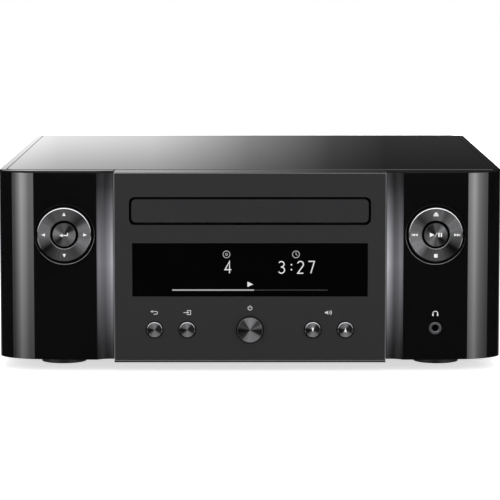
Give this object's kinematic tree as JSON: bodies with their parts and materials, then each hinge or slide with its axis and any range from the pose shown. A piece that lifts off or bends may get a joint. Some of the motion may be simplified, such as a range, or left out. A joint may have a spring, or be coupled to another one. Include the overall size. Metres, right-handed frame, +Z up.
{
  "type": "cd receiver",
  "caption": "Compact disc receiver with a sliding disc tray, smoked display, round buttons, two four-way rings and rear sockets.",
  "frame": {"origin": "on the surface that the feet stand on, midway between the front of the power button and the ends of the terminal caps, and midway across the width", "axes": "+X to the right as seen from the front, +Y to the back, +Z up"},
  "size_m": [0.28, 0.303, 0.111],
  "materials": {
    "anthracite_panel": "matte powder coat",
    "black_wing": "satin moulded plastic",
    "gloss_top": "high gloss",
    "black_sheet": "satin paint",
    "dark_glass": "smoked window",
    "dark_metal": "turned, dark anodised",
    "sole_rubber": "matte",
    "moulded_black": "fine grained moulding",
    "cap_plastic": "moulded",
    "gear_plastic": "natural acetal",
    "bright_steel": "zinc plated",
    "turntable_plastic": "moulded",
    "sled_metal": "die cast",
    "lens_glass": "clear lens",
    "board_green": "solder mask",
    "core_steel": "varnished laminations",
    "sink_aluminium": "black anodised"
  },
  "bodies": {
    "casing": {"aerial_socket": "bright_steel", "back_panel": "black_sheet", "centre_panel": "anthracite_panel", "chassis_base": "black_sheet", "clamper_bridge": "bright_steel", "display_module": "board_green", "display_window": "dark_glass", "feet": "sole_rubber", "front_board": "board_green", "headphone_jack": "moulded_black", "heat_sink": "sink_aluminium", "inner_cover": "black_sheet", "left_front_wing": "black_wing", "left_key_board": "board_green", "left_side_panel": "black_sheet", "loader_frame": "moulded_black", "loading_motor": "bright_steel", "main_board": "board_green", "mains_inlet": "moulded_black", "network_socket": "bright_steel", "optical_sockets": "moulded_black", "phono_sockets": "bright_steel", "power_board": "board_green", "power_transformer": "core_steel", "right_front_wing": "black_wing", "right_key_board": "board_green", "right_side_panel": "black_sheet", "speaker_terminals": "moulded_black", "top_plate": "gloss_top", "usb_socket": "bright_steel"},
    "tray": {"disc_tray": "moulded_black", "tray_front": "anthracite_panel"},
    "tray_gear": {"tray_gear": "gear_plastic"},
    "motor_pinion": {"motor_pinion": "gear_plastic"},
    "cam": {"cam_slider": "moulded_black"},
    "traverse": {"traverse_frame": "bright_steel", "guide_rods": "bright_steel", "spindle_motor": "bright_steel"},
    "turntable": {"turntable": "turntable_plastic"},
    "sled": {"pickup_sled": "sled_metal", "pickup_lens": "lens_glass"},
    "clamper": {"clamper": "moulded_black"},
    "left_ring_frame": {"left_ring_frame": "moulded_black"},
    "right_ring_frame": {"right_ring_frame": "moulded_black"},
    "left_ring": {"left_ring": "dark_metal"},
    "right_ring": {"right_ring": "dark_metal"},
    "return_button": {"return_button": "dark_metal"},
    "source_button": {"source_button": "dark_metal"},
    "volume_down_button": {"volume_down_button": "dark_metal"},
    "volume_up_button": {"volume_up_button": "dark_metal"},
    "power_button": {"power_button": "dark_metal"},
    "ok_button": {"ok_button": "dark_metal"},
    "play_button": {"play_button": "dark_metal"},
    "terminal_cap_1": {"terminal_cap_1": "cap_plastic"},
    "terminal_cap_2": {"terminal_cap_2": "cap_plastic"},
    "terminal_cap_3": {"terminal_cap_3": "cap_plastic"},
    "terminal_cap_4": {"terminal_cap_4": "cap_plastic"}
  },
  "joints": [
    {"name": "tray_slide", "type": "slide", "parent": "casing", "child": "tray", "axis": [0, -1, 0], "range_m": [0, 0.138]},
    {"name": "tray_gear_spin", "type": "hinge", "parent": "casing", "child": "tray_gear", "pos_m": [-0.041, -0.112, 0.08], "axis": [0, 0, 1], "range_deg": [0, 880]},
    {"name": "pinion_spin", "type": "hinge", "parent": "casing", "child": "motor_pinion", "pos_m": [-0.041, -0.092, 0.07], "axis": [0, 0, 1], "range_deg": [-2640, 0]},
    {"name": "cam_slide", "type": "slide", "parent": "casing", "child": "cam", "axis": [1, 0, 0], "range_m": [0, 0.02]},
    {"name": "traverse_lift", "type": "hinge", "parent": "casing", "child": "traverse", "pos_m": [0, -0.012, 0.0795], "axis": [1, 0, 0], "range_deg": [0, 7]},
    {"name": "turntable_spin", "type": "hinge", "parent": "traverse", "child": "turntable", "pos_m": [0, -0.08, 0.09], "axis": [0, 0, 1], "continuous": true},
    {"name": "sled_travel", "type": "slide", "parent": "traverse", "child": "sled", "axis": [0, 1, 0], "range_m": [0, 0.033]},
    {"name": "clamper_spin", "type": "hinge", "parent": "casing", "child": "clamper", "pos_m": [0, -0.08, 0.098], "axis": [0, 0, 1], "continuous": true},
    {"name": "return_button_press", "type": "slide", "parent": "casing", "child": "return_button", "axis": [0, 1, 0], "range_m": [0, 0.0006], "stiffness_N_per_m": 400, "springref_m": -0.0006},
    {"name": "source_button_press", "type": "slide", "parent": "casing", "child": "source_button", "axis": [0, 1, 0], "range_m": [0, 0.0006], "stiffness_N_per_m": 400, "springref_m": -0.0006},
    {"name": "volume_down_button_press", "type": "slide", "parent": "casing", "child": "volume_down_button", "axis": [0, 1, 0], "range_m": [0, 0.0006], "stiffness_N_per_m": 400, "springref_m": -0.0006},
    {"name": "volume_up_button_press", "type": "slide", "parent": "casing", "child": "volume_up_button", "axis": [0, 1, 0], "range_m": [0, 0.0006], "stiffness_N_per_m": 400, "springref_m": -0.0006},
    {"name": "power_button_press", "type": "slide", "parent": "casing", "child": "power_button", "axis": [0, 1, 0], "range_m": [0, 0.0006], "stiffness_N_per_m": 400, "springref_m": -0.0006},
    {"name": "ok_button_press", "type": "slide", "parent": "casing", "child": "ok_button", "axis": [0, 1, 0], "range_m": [0, 0.0006], "stiffness_N_per_m": 400, "springref_m": -0.0006},
    {"name": "play_button_press", "type": "slide", "parent": "casing", "child": "play_button", "axis": [0, 1, 0], "range_m": [0, 0.0006], "stiffness_N_per_m": 400, "springref_m": -0.0006},
    {"name": "left_frame_tilt", "type": "hinge", "parent": "casing", "child": "left_ring_frame", "pos_m": [-0.1027, -0.1433, 0.0764], "axis": [1, 0, 0], "range_deg": [-1.5, 1.5], "stiffness_Nm_per_rad": 0.05},
    {"name": "left_ring_tilt", "type": "hinge", "parent": "left_ring_frame", "child": "left_ring", "pos_m": [-0.1027, -0.14455, 0.0764], "axis": [0, 0, 1], "range_deg": [-1.5, 1.5], "stiffness_Nm_per_rad": 0.05},
    {"name": "right_frame_tilt", "type": "hinge", "parent": "casing", "child": "right_ring_frame", "pos_m": [0.1027, -0.1433, 0.0764], "axis": [1, 0, 0], "range_deg": [-1.5, 1.5], "stiffness_Nm_per_rad": 0.05},
    {"name": "right_ring_tilt", "type": "hinge", "parent": "right_ring_frame", "child": "right_ring", "pos_m": [0.1027, -0.14455, 0.0764], "axis": [0, 0, 1], "range_deg": [-1.5, 1.5], "stiffness_Nm_per_rad": 0.05},
    {"name": "cap_1_turn", "type": "hinge", "parent": "casing", "child": "terminal_cap_1", "pos_m": [-0.072, 0.146, 0.034], "axis": [0, 1, 0], "range_deg": [0, 720]},
    {"name": "cap_2_turn", "type": "hinge", "parent": "casing", "child": "terminal_cap_2", "pos_m": [-0.053, 0.146, 0.034], "axis": [0, 1, 0], "range_deg": [0, 720]},
    {"name": "cap_3_turn", "type": "hinge", "parent": "casing", "child": "terminal_cap_3", "pos_m": [-0.034, 0.146, 0.034], "axis": [0, 1, 0], "range_deg": [0, 720]},
    {"name": "cap_4_turn", "type": "hinge", "parent": "casing", "child": "terminal_cap_4", "pos_m": [-0.015, 0.146, 0.034], "axis": [0, 1, 0], "range_deg": [0, 720]}
  ],
  "couplings": [
    {"joint": "tray_gear_spin", "follows": "tray_slide", "rad_per_m": 111.11},
    {"joint": "pinion_spin", "follows": "tray_slide", "rad_per_m": -333.33},
    {"joint": "cam_slide", "follows": "traverse_lift", "m_per_rad": 0.1637}
  ]
}
